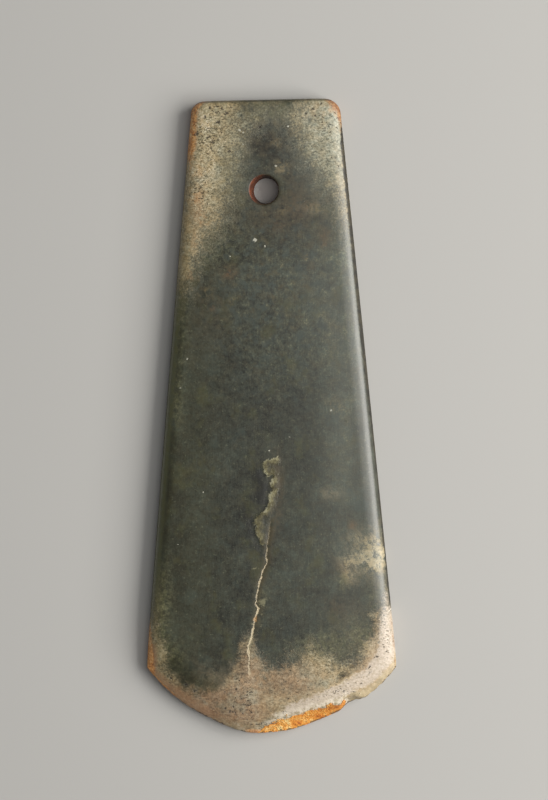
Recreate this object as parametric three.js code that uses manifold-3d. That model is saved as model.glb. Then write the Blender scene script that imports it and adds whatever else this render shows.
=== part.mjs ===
// A polished jade axe head: one flat, tapering stone blade with a squared butt, a drilled hole
// for its lashing and a curved cutting edge that has lost one flake.
// Millimetres, +Z up. The blade lies on its back face: the butt points to +Y, the cutting edge
// to -Y, and the origin is under the middle of the blade.
import * as THREE from "three";
import { mergeVertices } from "three/addons/utils/BufferGeometryUtils.js";
import Module from "manifold-3d";

// Outline, seen from above; left is -X.
const length = 220; // butt end to the tip of the cutting edge
const bladeWidth = 87.6; // across the corners of the cutting edge, before they are worn
const buttHalfWidth = { left: 25.1, right: 26.3 }; // before the butt's corners are rounded
const buttCornerRadius = { left: 4, right: 5 };
const sideBow = { left: 0.3, right: 0.1 }; // how far each long side swells half-way along
const edgeRadius = 53.9; // the cutting edge is nearly one arc of a circle
const edgeFullness = { x: -9, spread: 9, depth: 1.2 }; // it is a little fuller left of the middle
const edgeCornerWear = { depth: 0.3, spread: 2.5 };

// Section through the thickness, measured from the plane where the two faces meet.
const upperCrown = 4.8; // height of the upper face at its thickest
const underCrown = 4.6; // depth that the back face would have without its flat
const underFlat = 4; // depth of the flat that the blade lies on
const crossFall = 0.16; // share of the height that a face loses from its middle to its side
const buttThinning = 0.2; // share of the height that is lost from the thickest part to the butt
const thickestY = -35;
const sideRounding = { width: 5.5, power: 2.2 };
const buttRounding = { width: 2.4, power: 2, flatShare: 0.6 }; // the butt end itself is flat
const edgeBevel = { width: 13, power: 1.5 };

// The lashing hole, drilled from the upper face and narrowing downwards.
const hole = { x: 0.1, fromButt: 31.3, upperRadius: 5.1, lowerRadius: 4.4, rimWear: 0.3, sides: 56 };

// The lost flake. The edge is set back slowly from startX, drops in at a step, and recovers.
const flake = { startX: 5, slopeEndX: 21, stepX: 23.3, stepEndX: 26.3, recoverX: 27, recoverEndX: 33.5 };
const flakeDepth = { slope: 1.4, step: 1.1, leftOver: 0.3, leftOverEndX: 41 };
const scar = { fromX: -5, toX: 26, width: 5.5, hollow: 1.25 }; // its broken surface on the upper face

// How finely the faces are divided.
const divisions = { sideBand: 8, acrossMiddle: 30, buttBand: 7, alongMiddle: 15, edgeBand: 11 };

const { clamp, lerp, smoothstep } = THREE.MathUtils;
const buttY = length / 2;
const tipY = -length / 2;
const buttBandWidth = Math.max(buttCornerRadius.left, buttCornerRadius.right);

// Extra depth of the cutting edge beyond its arc.
function fullness(x) {
  return edgeFullness.depth * Math.exp(-(((x - edgeFullness.x) / edgeFullness.spread) ** 2));
}

// The unbroken cutting edge, measured down from the centre of its arc.
function edgeDrop(x) {
  return Math.sqrt(edgeRadius ** 2 - x ** 2) + fullness(x);
}

function deepestDrop() {
  let deepest = 0;
  for (let x = -bladeWidth / 2; x <= bladeWidth / 2; x += 0.05) {
    deepest = Math.max(deepest, edgeDrop(x));
  }
  return deepest;
}

const arcCentreY = tipY + deepestDrop();
const cornerY = arcCentreY - edgeDrop(bladeWidth / 2);

// 0 at the rim, 1 once `distance` reaches the band's width; power 1 is a plain bevel and 2 an ellipse.
function rounding(distance, { width, power }) {
  const remaining = 1 - clamp(distance / width, 0, 1);
  return Math.pow(1 - Math.pow(remaining, power), 1 / power);
}

// Half the blade's width at a height y on one side (-1 left, 1 right), corners included.
function halfWidth(y, side) {
  const name = side < 0 ? "left" : "right";
  const along = clamp((buttY - y) / (buttY - cornerY), 0, 1);
  const straight = lerp(buttHalfWidth[name], bladeWidth / 2, along);
  const bow = sideBow[name] * Math.sin(Math.PI * along);
  const wear = edgeCornerWear.depth * Math.exp(-Math.max(0, y - cornerY) / edgeCornerWear.spread);
  const radius = buttCornerRadius[name];
  const intoCorner = Math.max(0, radius - (buttY - y));
  return straight + bow - wear - (radius - Math.sqrt(radius ** 2 - intoCorner ** 2));
}

// How far the lost flake sets the cutting edge back at x.
function edgeSetBack(x) {
  const { slope, step, leftOver, leftOverEndX } = flakeDepth;
  const slowGain = slope * smoothstep(x, flake.startX, flake.slopeEndX) ** 0.7;
  const stepGain = step * smoothstep(x, flake.stepX, flake.stepEndX);
  const recovery = (slope + step - leftOver) * smoothstep(x, flake.recoverX, flake.recoverEndX);
  const fadeOut = leftOver * smoothstep(x, flake.recoverEndX, leftOverEndX);
  return slowGain + stepGain - recovery - fadeOut;
}

function edgeY(x) {
  return arcCentreY - edgeDrop(x) + edgeSetBack(x);
}

// Share of a face's full height at a point, from its distances to the sides, the butt and the edge.
function heightShare(x, y) {
  const half = halfWidth(y, Math.sign(x));
  const across = clamp(Math.abs(x) / half, 0, 1);
  const fall = 1 - crossFall * across ** 2;
  const thinning = 1 - buttThinning * clamp((y - thickestY) / (buttY - thickestY), 0, 1) ** 1.5;
  const fromEdge = edgeRadius + fullness(x) - Math.hypot(x, y - arcCentreY);
  const butt = lerp(buttRounding.flatShare, 1, rounding(buttY - y, buttRounding));
  const edge = y < arcCentreY ? rounding(fromEdge, edgeBevel) : 1;
  return fall * thinning * butt * edge * rounding(half - Math.abs(x), sideRounding);
}

function underZ(x, y) {
  return -Math.min(underFlat, underCrown * heightShare(x, y));
}

// Width of the broken surface, measured along the blade: widest at the middle of the scar.
function scarWidth(x) {
  const along = clamp((x - scar.fromX) / (scar.toX - scar.fromX), 0, 1);
  return Math.max(scar.width * Math.sin(Math.PI * along) ** 0.7, edgeSetBack(x));
}

// The upper face, falling in a hollow curve to the back face where the flake has broken away.
function upperZ(x, y) {
  const whole = upperCrown * heightShare(x, y);
  const width = scarWidth(x);
  const fromEdge = y - edgeY(x);
  if (width === 0 || fromEdge >= width) return whole;
  const rimZ = underZ(x, edgeY(x));
  return lerp(rimZ, whole, Math.pow(clamp(fromEdge / width, 0, 1), scar.hollow));
}

// Distances from a rim, close together where the surface turns quickly.
function bandSteps(count, width) {
  return Array.from({ length: count }, (_, k) => width * (1 - Math.cos((k / count) * (Math.PI / 2))));
}

// Columns run from the left side to the right: each is a distance from a side, or a share of the middle.
function columns() {
  const band = bandSteps(divisions.sideBand, sideRounding.width);
  const left = band.map((inset) => ({ side: -1, inset }));
  const middle = Array.from({ length: divisions.acrossMiddle + 1 }, (_, k) => ({
    share: k / divisions.acrossMiddle,
  }));
  const right = band.map((inset) => ({ side: 1, inset })).reverse();
  return [...left, ...middle, ...right];
}

function columnX(column, y) {
  if (column.side) return column.side * (halfWidth(y, column.side) - column.inset);
  const inset = sideRounding.width;
  return lerp(-(halfWidth(y, -1) - inset), halfWidth(y, 1) - inset, column.share);
}

// The y of every row along one column, from the butt to the cutting edge.
function rowsOf(column) {
  const lastY = edgeY(columnX(column, cornerY));
  const firstMiddle = buttY - buttBandWidth;
  const lastMiddle = lastY + edgeBevel.width;
  const butt = bandSteps(divisions.buttBand, buttBandWidth).map((d) => buttY - d);
  const middle = Array.from({ length: divisions.alongMiddle + 1 }, (_, k) =>
    lerp(firstMiddle, lastMiddle, k / divisions.alongMiddle),
  );
  const edge = bandSteps(divisions.edgeBand, edgeBevel.width).map((d) => lastY + d);
  return [...butt, ...middle, ...edge.reverse()];
}

// The undrilled blade: an upper and an under face that share their rim, and the flat butt between them.
function bladeGeometry() {
  const lines = columns();
  const rows = lines.map(rowsOf);
  const lastColumn = lines.length - 1;
  const lastRow = rows[0].length - 1;
  const positions = [];
  const upper = [];
  const under = [];
  const addPoint = (x, y, z) => positions.push(x, y, z + underFlat) / 3 - 1;

  lines.forEach((column, i) => {
    upper.push([]);
    under.push([]);
    rows[i].forEach((y, j) => {
      const x = columnX(column, y);
      const onRim = i === 0 || i === lastColumn || j === lastRow;
      under[i].push(addPoint(x, y, underZ(x, y)));
      upper[i].push(onRim ? under[i][j] : addPoint(x, y, upperZ(x, y)));
    });
  });

  const triangles = [];
  const addTriangle = (a, b, c) => {
    if (a !== b && b !== c && c !== a) triangles.push(a, b, c);
  };
  const addQuad = (a, b, c, d) => {
    addTriangle(a, b, c);
    addTriangle(a, c, d);
  };
  for (let i = 0; i < lastColumn; i++) {
    for (let j = 0; j < lastRow; j++) {
      addQuad(upper[i][j], upper[i][j + 1], upper[i + 1][j + 1], upper[i + 1][j]);
      addQuad(under[i][j], under[i + 1][j], under[i + 1][j + 1], under[i][j + 1]);
    }
    addQuad(upper[i][0], upper[i + 1][0], under[i + 1][0], under[i][0]);
  }
  const geometry = new THREE.BufferGeometry();
  geometry.setAttribute("position", new THREE.Float32BufferAttribute(positions, 3));
  geometry.setIndex(triangles);
  return geometry;
}

// The drill: a tapering plug with a small flare where use has worn each rim.
function drillGeometry() {
  const { upperRadius, lowerRadius, rimWear, sides } = hole;
  const upperSurface = underFlat + upperZ(hole.x, buttY - hole.fromButt);
  const clearance = 3;
  const profile = [
    [0, -clearance],
    [lowerRadius + rimWear + clearance, -clearance],
    [lowerRadius + rimWear, 0],
    [lowerRadius, rimWear],
    [upperRadius, upperSurface - rimWear],
    [upperRadius + rimWear, upperSurface],
    [upperRadius + rimWear + clearance, upperSurface + clearance],
    [0, upperSurface + clearance],
  ].map(([radius, z]) => new THREE.Vector2(radius, z));
  const plug = new THREE.LatheGeometry(profile, sides);
  plug.rotateX(Math.PI / 2);
  plug.translate(hole.x, buttY - hole.fromButt, 0);
  return plug;
}

const wasm = await Module();
wasm.setup();

function solidOf(geometry) {
  const bare = geometry.clone();
  bare.deleteAttribute("normal");
  bare.deleteAttribute("uv");
  const merged = mergeVertices(bare, 1e-4);
  const vertProperties = merged.attributes.position.array;
  const corners = Array.from(merged.index.array);
  const triVerts = corners.filter((_, k) => {
    const [a, b, c] = corners.slice(k - (k % 3), k - (k % 3) + 3);
    return a !== b && b !== c && c !== a;
  });
  return new wasm.Manifold(
    new wasm.Mesh({ numProp: 3, vertProperties, triVerts: new Uint32Array(triVerts) }),
  );
}

function geometryOf(solid) {
  const mesh = solid.getMesh();
  const geometry = new THREE.BufferGeometry();
  geometry.setAttribute("position", new THREE.BufferAttribute(mesh.vertProperties, 3));
  geometry.setIndex(new THREE.BufferAttribute(mesh.triVerts, 1));
  geometry.computeVertexNormals();
  return geometry;
}

function jade() {
  return new THREE.MeshStandardMaterial({ color: 0x4a4d42, roughness: 0.32, metalness: 0 });
}

const drilled = solidOf(bladeGeometry()).subtract(solidOf(drillGeometry()));
const blade = new THREE.Mesh(geometryOf(drilled), jade());
blade.name = "axe_head";

const axeHead = new THREE.Group();
axeHead.add(blade);

export default axeHead;
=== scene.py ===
import math
from types import SimpleNamespace

import bmesh
import bpy
import numpy as np
from mathutils import Matrix, Vector, noise


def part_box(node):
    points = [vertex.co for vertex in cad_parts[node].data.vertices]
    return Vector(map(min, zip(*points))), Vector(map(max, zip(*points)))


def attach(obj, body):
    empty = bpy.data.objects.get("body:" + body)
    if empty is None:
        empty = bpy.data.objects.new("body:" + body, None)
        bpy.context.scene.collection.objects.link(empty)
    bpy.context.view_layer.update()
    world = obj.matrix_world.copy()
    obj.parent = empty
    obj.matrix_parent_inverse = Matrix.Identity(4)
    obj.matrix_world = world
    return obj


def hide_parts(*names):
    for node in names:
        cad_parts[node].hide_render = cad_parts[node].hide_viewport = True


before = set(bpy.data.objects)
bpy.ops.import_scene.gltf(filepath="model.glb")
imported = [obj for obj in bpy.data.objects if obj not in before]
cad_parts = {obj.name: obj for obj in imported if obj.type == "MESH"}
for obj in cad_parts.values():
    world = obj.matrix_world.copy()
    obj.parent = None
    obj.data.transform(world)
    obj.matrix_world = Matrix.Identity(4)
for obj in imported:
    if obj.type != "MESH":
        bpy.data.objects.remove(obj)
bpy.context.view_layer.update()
mm = 0.001
print("frame loaded")


cameraSetup = {
    "lens": 144.65,
    "distance": 1.1176,
    "yaw": 6.5,  # degrees round the blade's long axis, towards +X
    "roll": 0.75,
    "aim": (2.2 * mm, 5.75 * mm, 4 * mm),
}


def linked(name, data):
    made = bpy.data.objects.new(name, data)
    bpy.context.scene.collection.objects.link(made)
    return made


def makeCamera(setup):
    yaw, roll = math.radians(setup["yaw"]), math.radians(setup["roll"])
    back = Vector((math.sin(yaw), 0, math.cos(yaw)))
    flatRight = Vector((math.cos(yaw), 0, -math.sin(yaw)))
    up = math.sin(roll) * flatRight + math.cos(roll) * Vector((0, 1, 0))
    right = up.cross(back)
    data = bpy.data.cameras.new("camera")
    data.lens = setup["lens"]
    data.sensor_width = 36
    data.clip_start, data.clip_end = 0.05, 50
    camera = linked("camera", data)
    turned = Matrix((right, up, back)).transposed().to_4x4()
    camera.matrix_world = Matrix.Translation(Vector(setup["aim"]) + back * setup["distance"]) @ turned
    bpy.context.scene.camera = camera


makeCamera(cameraSetup)
print("camera placed")


# the shape of the blade, in millimetres
low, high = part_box("axe_head")
blade = {
    "length": (high.y - low.y) / mm,
    "width": 87.6,  # across the corners of the cutting edge, before they are worn
    "buttHalfWidth": (25.1, 26.3),  # left, right
    "buttCornerRadius": (4.0, 5.0),
    "sideBow": (0.3, 0.1),
    "edgeRadius": 53.9,
    "fullness": (-9.0, 9.0, 1.2),  # x, spread, depth of the fuller part of the cutting edge
    "cornerWear": (0.3, 2.5),
    "upperCrown": 4.8,
    "underCrown": 4.6,
    "underFlat": 4.0,
    "crossFall": 0.16,
    "buttThinning": 0.2,
    "thickestY": -35.0,
    "sideRounding": (5.5, 2.2),  # width, power
    "buttRounding": (2.4, 2.0),
    "buttFlatShare": 0.6,
    "edgeBevel": (13.0, 1.5),
    "rimHalf": 0.18,  # half the height of the blunt rim between the two faces
    "columns": 148,
    "sideColumns": 14,
    "rows": 306,
    "buttRows": 12,
    "edgeRows": 20,
    "sharpAngle": 50,  # in degrees; an edge that turns more is drawn sharp
}
flake = {
    "slope": (5.0, 21.0, 1.4),  # from x, to x, how far the edge is set back
    "step": (23.3, 26.3, 1.1),
    "recovery": (27.0, 33.5),
    "leftOver": (0.3, 41.0),
    "scar": (-5.0, 26.0, 5.5, 1.25),  # from x, to x, width, hollow
}
hole = {
    "x": 0.1,
    "y": 78.7,
    "upperRadius": 5.1,
    "lowerRadius": 4.4,
    "flare": 0.3,
    "wear": (0.07, 0.2, 0.55),  # depth, how far out, spread
    "rings": [(0.05, 2.4), (0.03, 5.1)],  # depth, turn from step to step
    "steps": 12,
    "overrun": 3,
    "sides": 128,
}

buttY = blade["length"] / 2
tipY = -blade["length"] / 2


def smoothstep(value, start, end):
    t = np.clip((value - start) / (end - start), 0, 1)
    return t * t * (3 - 2 * t)


def lerp(a, b, t):
    return a + (b - a) * t


def bell(value, spread):
    return np.exp(-((value / spread) ** 2))


def fullness(x):
    at, spread, depth = blade["fullness"]
    return depth * bell(x - at, spread)


def edgeDrop(x):
    return np.sqrt(np.maximum(blade["edgeRadius"] ** 2 - x**2, 0)) + fullness(x)


halfBlade = blade["width"] / 2
arcCentreY = tipY + edgeDrop(np.linspace(-halfBlade, halfBlade, 1800)).max()
cornerY = arcCentreY - float(edgeDrop(np.array(halfBlade)))


def rounding(distance, shape):
    width, power = shape
    remaining = 1 - np.clip(distance / width, 0, 1)
    return (1 - remaining**power) ** (1 / power)


def halfWidth(y, side):
    k = np.where(side < 0, 0, 1)
    along = np.clip((buttY - y) / (buttY - cornerY), 0, 1)
    straight = lerp(np.take(blade["buttHalfWidth"], k), halfBlade, along)
    bow = np.take(blade["sideBow"], k) * np.sin(np.pi * along)
    depth, spread = blade["cornerWear"]
    wear = depth * np.exp(-np.maximum(0, y - cornerY) / spread)
    radius = np.take(blade["buttCornerRadius"], k)
    into = np.maximum(0, radius - (buttY - y))
    return straight + bow - wear - (radius - np.sqrt(np.maximum(radius**2 - into**2, 0)))


def edgeSetBack(x):
    (a, b, slope), (c, d, step) = flake["slope"], flake["step"]
    left, leftEnd = flake["leftOver"]
    gain = slope * smoothstep(x, a, b) ** 0.7 + step * smoothstep(x, c, d)
    recovery = (slope + step - left) * smoothstep(x, *flake["recovery"])
    return gain - recovery - left * smoothstep(x, flake["recovery"][1], leftEnd)


def edgeY(x):
    return arcCentreY - edgeDrop(x) + edgeSetBack(x)


def nickedEdgeY(x):
    return edgeY(x) + sum(depth * bell(x - at, wide) for at, wide, depth in nicks)


def fromCuttingEdge(x, y):
    return np.where(
        y < arcCentreY, blade["edgeRadius"] + fullness(x) - np.hypot(x, y - arcCentreY), 1000
    )


def heightShare(x, y):
    half = halfWidth(y, x)
    across = np.clip(np.abs(x) / half, 0, 1)
    fall = 1 - blade["crossFall"] * across**2
    toButt = np.clip((y - blade["thickestY"]) / (buttY - blade["thickestY"]), 0, 1)
    butt = lerp(blade["buttFlatShare"], 1, rounding(buttY - y, blade["buttRounding"]))
    edge = rounding(fromCuttingEdge(x, y), blade["edgeBevel"])
    side = rounding(half - np.abs(x), blade["sideRounding"])
    return fall * (1 - blade["buttThinning"] * toButt**1.5) * butt * edge * side


def underZ(x, y):
    rim = blade["rimHalf"]
    natural = rim + (blade["underCrown"] - rim) * heightShare(x, y)
    return -np.minimum(blade["underFlat"], natural)


def scarWidth(x):
    start, end, width, _ = flake["scar"]
    along = np.clip((x - start) / (end - start), 0, 1)
    return np.maximum(width * np.sin(np.pi * along) ** 0.7, edgeSetBack(x)) + 1e-6


def scarShare(x, y):
    return np.clip((y - edgeY(x)) / scarWidth(x), 0, 1)


def upperZ(x, y):
    rim = blade["rimHalf"]
    whole = rim + (blade["upperCrown"] - rim) * heightShare(x, y)
    rimZ = underZ(x, edgeY(x)) + 2 * rim
    share = scarShare(x, y)
    return np.where(share < 1, lerp(rimZ, whole, share ** flake["scar"][3]), whole)


# the fissure and its infill, as courses across the upper face
crackCourse = [
    (0.9, -36.5), (0.6, -39), (0, -42.5), (-0.5, -46), (-0.6, -50.5), (-1.8, -53.3), (-3, -56.8),
    (-4.2, -61.2), (-4.3, -64.7), (-3.7, -66.4), (-5, -71), (-6.2, -76.4), (-7.2, -80.3), (-7, -84),
    (-7.2, -88), (-6.9, -92), (-7.7, -98), (-7.8, -103.7),
]
infillCourse = [  # the crisp left side of the infill, from its top down
    (3.9, -13.6), (1.8, -14.6), (0, -14.7), (-1.7, -16.2), (-1.3, -18.2), (-0.3, -20.6), (1.9, -20.6),
    (1.4, -22.4), (0.8, -24.3), (2, -25.2), (0.6, -26.6), (0.2, -30), (-1, -32.4), (-3.2, -33.8),
    (-5.3, -36.7), (-4, -37.8), (-4.7, -39.2), (-3.7, -41.8), (-2.3, -44.6),
]
infillRight = [
    (0, -44), (0.6, -40), (1.6, -36), (3, -32), (4, -28), (4.3, -24), (4.2, -20.6), (4.7, -18),
    (4.9, -15.4),
]
sideCrack = [(40.0, -69.4), (41.0, -68.1), (42.2, -66.8)]
bandCourse = [  # down the lower right side, then in along the cutting edge
    (42.5, -64), (41.6, -72), (41.4, -79), (38.6, -85), (34.4, -90), (28.5, -93), (21.5, -96.4), (14, -99),
    (6, -102),
]
# the unaltered dark core, going round from the butt down the left side
coreOutline = [
    (-4.3, 112), (-6, 99), (-8.5, 89), (-12, 78.5), (-14.5, 70), (-19.5, 63), (-23.5, 56), (-27, 50),
    (-34, 38), (-50, 30), (-50, -66), (-40.5, -70), (-38.8, -79), (-36.4, -88), (-29.7, -93.2),
    (-23.2, -94.6), (-18.6, -93.6), (-14.4, -89.6), (-10.6, -82.6), (-7.4, -76.8), (-4.2, -83.4),
    (-0.6, -87.6), (4.4, -87.2), (9.6, -83.2), (16, -81.2), (24, -85.6), (29.4, -85), (33.6, -79.4),
    (36.4, -73.6), (39.8, -68), (44, -65), (50, -62), (50, 60), (31, 62), (25.5, 74), (20.5, 82), (15, 90),
    (12.5, 99), (13, 112),
]


def distanceToCourse(x, y, course, closed=False):
    # nearest distance, which side of the course it is on, and how far along it, 0 to 1
    points = np.array(course + (course[:1] if closed else []), float)
    nearest = np.full(x.shape, 1e9)
    side = np.zeros(x.shape)
    along = np.zeros(x.shape)
    travelled = np.concatenate([[0], np.cumsum(np.hypot(*np.diff(points, axis=0).T))])
    for k, (a, b) in enumerate(zip(points[:-1], points[1:])):
        step = b - a
        t = np.clip(((x - a[0]) * step[0] + (y - a[1]) * step[1]) / (step @ step), 0, 1)
        dx, dy = x - (a[0] + t * step[0]), y - (a[1] + t * step[1])
        distance = np.hypot(dx, dy)
        closer = distance < nearest
        nearest = np.where(closer, distance, nearest)
        side = np.where(closer, np.sign(step[0] * dy - step[1] * dx), side)
        along = np.where(closer, (travelled[k] + t * math.hypot(*step)) / travelled[-1], along)
    return nearest, side, along


def insideCourse(x, y, course):
    # signed distance to a closed course, positive inside
    nearest, _, _ = distanceToCourse(x, y, course, closed=True)
    inside = np.zeros(x.shape, bool)
    points = course + course[:1]
    for (ax, ay), (bx, by) in zip(points[:-1], points[1:]):
        crosses = (ay > y) != (by > y)
        if ay != by:
            inside ^= crosses & (x < (bx - ax) * (y - ay) / (by - ay) + ax)
    return np.where(inside, nearest, -nearest)


def softSpots(x, y, spots):
    # each spot: x, y, half length along its own two axes, amount, and any turn in degrees
    sums = np.zeros(x.shape)
    for sx, sy, rx, ry, amount, *turn in spots:
        turned = math.radians(turn[0] if turn else 0)
        c, s = math.cos(turned), math.sin(turned)
        dx, dy = x - sx, y - sy
        u, v = (dx * c + dy * s) / rx, (dy * c - dx * s) / ry
        sums += amount * np.exp(-(u * u + v * v))
    return sums


def noiseSum(x, y, layers):
    # each layer: amount, size in millimetres, seed
    heights = 0
    for amount, size, seed in layers:
        heights += amount * np.array([noise.noise((a / size, b / size, seed)) for a, b in zip(x, y)])
    return heights


# relief that is big enough to be shape
relief = {
    "grinding": [(0.05, 30.0, 3.1), (0.02, 9.0, 7.7)],  # depth, size, seed
    "crack": (0.08, 0.5, 0.6),  # depth, half width, how much shallower at its far end
    "infill": (0.06, 0.7, 0.9),  # depth, how far beside its course, half width
    "infillStart": (0.12, 0.25),
    "sideCrack": (0.15, 0.5),  # depth, half width
    "hollows": [(24.2, -90.2, 1.9, 1.2, -0.4, 35), (27, -88.6, 1.7, 0.8, -0.25, 40)],
    "pits": (0.22, 0.48, 0.75),  # depth, and where they start and end in the noise
    "pitNoise": [(1.0, 1.6, 21.0), (0.25, 12.0, 5.0)],
    "scar": 0.28,
    "scarGrain": [(1.0, 1.5, 31.0), (0.6, 0.8, 33.0)],
    "ripples": (8, -92, 1.2, 2.2, 0.3),  # centre x and y, flattening, closeness, depth
    "settle": 0.035,  # keeps the relief under the crown of the face
}
nicks = [  # small chips along the cutting edge: x, half width, depth
    (-40.2, 0.8, 0.3), (-36.2, 0.7, 0.35), (-32.4, 0.9, 0.3), (-27, 0.7, 0.25), (-21.4, 0.9, 0.4),
    (-11, 0.8, 0.2), (29.4, 0.8, 0.35), (31.8, 0.7, 0.3), (34.6, 0.9, 0.4), (37.6, 0.7, 0.4),
    (40.2, 0.6, 0.3),
]


def reliefAt(x, y):
    height = noiseSum(x, y, relief["grinding"])
    depth, wide, fading = relief["crack"]
    nearest, _, along = distanceToCourse(x, y, crackCourse)
    height -= depth * bell(nearest, wide) * (1 - fading * along)
    depth, beside, wide = relief["infill"]
    nearest, side, along = distanceToCourse(x, y, infillCourse)
    height -= depth * bell(nearest * side + beside, wide) * smoothstep(along, *relief["infillStart"])
    height += softSpots(x, y, relief["hollows"]) - relief["settle"]
    depth, wide = relief["sideCrack"]
    height -= depth * bell(distanceToCourse(x, y, sideCrack)[0], wide)
    rind = smoothstep(-insideCourse(x, y, coreOutline), 0, 6)
    depth, start, end = relief["pits"]
    height -= depth * smoothstep(noiseSum(x, y, relief["pitNoise"]), start, end) * rind
    return height


def scarReliefAt(x, y, share):
    inScar = np.sin(np.pi * np.clip(share, 0, 1)) * (share < 1)
    centreX, centreY, flattening, closeness, depth = relief["ripples"]
    away = np.hypot(x - centreX, (y - centreY) * flattening)
    ripples = np.sin(away * closeness) * depth
    return relief["scar"] * inScar * (noiseSum(x, y, relief["scarGrain"]) + ripples)


def bladeColumnX(u, y):
    # columns close up near the two long sides, where the surface turns quickly
    count, band = blade["columns"], blade["sideColumns"]
    width = blade["sideRounding"][0]
    index = (u + 1) / 2 * count
    fromSide = np.minimum(index, count - index)
    inset = width * (1 - np.cos(np.clip(fromSide / band, 0, 1) * np.pi / 2))
    left, right = halfWidth(y, -1 + 0 * y), halfWidth(y, 1 + 0 * y)
    share = np.clip((index - band) / (count - 2 * band), 0, 1)
    middle = lerp(-(left - width), right - width, share)
    return np.where(
        fromSide >= band, middle, np.where(index < count / 2, inset - left, right - inset)
    )


def bladeRowY(v, lastY):
    # v is 1 at the butt and -1 at the cutting edge
    rows, butt, edge = blade["rows"], blade["buttRows"], blade["edgeRows"]
    t = (1 - v) / 2
    span = buttY - lastY
    buttShare, edgeShare = 4 / span, 8 / span
    first, last = butt / rows, 1 - edge / rows
    top = buttShare * (1 - np.cos(np.clip(t / first, 0, 1) * np.pi / 2))
    middle = lerp(buttShare, 1 - edgeShare, (t - first) / (last - first))
    intoEdge = np.clip((1 - t) / (1 - last), 0, 1)
    bottom = 1 - edgeShare * (1 - np.cos(intoEdge * np.pi / 2))
    return buttY - span * np.where(t < first, top, np.where(t > last, bottom, middle))


def asMesh(bm, name):
    mesh = bpy.data.meshes.new(name)
    bm.to_mesh(mesh)
    bm.free()
    return mesh


def pointsOf(mesh):
    co = np.zeros(len(mesh.vertices) * 3)
    mesh.vertices.foreach_get("co", co)
    return co.reshape(-1, 3).T


def makeBladeMesh():
    bm = bmesh.new()
    bmesh.ops.create_cube(bm, size=2)
    for axis, cuts in ((0, blade["columns"] - 1), (1, blade["rows"] - 1), (2, 3)):
        along = [e for e in bm.edges if abs((e.verts[0].co - e.verts[1].co)[axis]) > 0.5]
        bmesh.ops.subdivide_edges(bm, edges=along, cuts=cuts, use_grid_fill=True)
    mesh = asMesh(bm, "bladeBody")
    print("blade block cut into", len(mesh.vertices), "points")

    u, v, w = pointsOf(mesh)
    cornerX = bladeColumnX(u, np.full(u.shape, cornerY))
    y = bladeRowY(v, nickedEdgeY(cornerX))
    x = bladeColumnX(u, y)
    top, under = upperZ(x, y), underZ(x, y)
    steady = smoothstep(np.minimum(halfWidth(y, x) - np.abs(x), y - edgeY(x)), 0, 3)
    top += (reliefAt(x, y) * steady + scarReliefAt(x, y, scarShare(x, y))) * (w > 0.99)
    fromHole = np.hypot(x - hole["x"], y - hole["y"])
    depth, out, spread = hole["wear"]
    top -= depth * bell(fromHole - hole["upperRadius"] - out, spread)
    top = np.minimum(top, blade["upperCrown"])
    z = np.where(w > 0.99, top, lerp(under, top, (w + 1) / 2))
    placed = np.stack([x, y, z + blade["underFlat"]], 1) * mm
    mesh.vertices.foreach_set("co", placed.ravel())
    mesh.update()
    print("blade shaped")
    return mesh


def makeDrill():
    # a tapering plug: its profile is turned once round the hole's axis
    height = blade["underFlat"] + float(upperZ(np.array(hole["x"]), np.array(hole["y"])))
    flare, beyond = hole["flare"], hole["overrun"]
    lower, upper = hole["lowerRadius"], hole["upperRadius"]
    profile = [(lower + flare + beyond, -beyond), (lower + flare, 0)]
    for k in range(hole["steps"] + 1):
        t = k / hole["steps"]
        ring = sum(depth * math.sin(k * turn) for depth, turn in hole["rings"])
        profile.append((lerp(lower, upper, t) + ring, lerp(flare, height - flare, t)))
    profile += [(upper + flare, height), (upper + flare + beyond, height + beyond)]
    bm = bmesh.new()
    line = [bm.verts.new((radius * mm, 0, z * mm)) for radius, z in profile]
    edges = [bm.edges.new(pair) for pair in zip(line[:-1], line[1:])]
    bmesh.ops.spin(
        bm, geom=line + edges, cent=(0, 0, 0), axis=(0, 0, 1), angle=math.tau,
        steps=hole["sides"], use_merge=True,
    )
    bmesh.ops.remove_doubles(bm, verts=bm.verts, dist=1e-7)
    rims = [e for e in bm.edges if e.is_boundary]
    bmesh.ops.holes_fill(bm, edges=rims)
    bmesh.ops.recalc_face_normals(bm, faces=bm.faces)
    bmesh.ops.translate(bm, verts=bm.verts, vec=(hole["x"] * mm, hole["y"] * mm, 0))
    return asMesh(bm, "drill")


def drillBlade(body, cutter):
    cut = body.modifiers.new("drilled", "BOOLEAN")
    cut.operation = "DIFFERENCE"
    cut.solver = "EXACT"
    cut.object = cutter
    cut.material_mode = "TRANSFER"
    graph = bpy.context.evaluated_depsgraph_get()
    drilled = bpy.data.meshes.new_from_object(body.evaluated_get(graph))
    body.modifiers.clear()
    body.data = drilled
    bpy.data.objects.remove(cutter)


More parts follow.
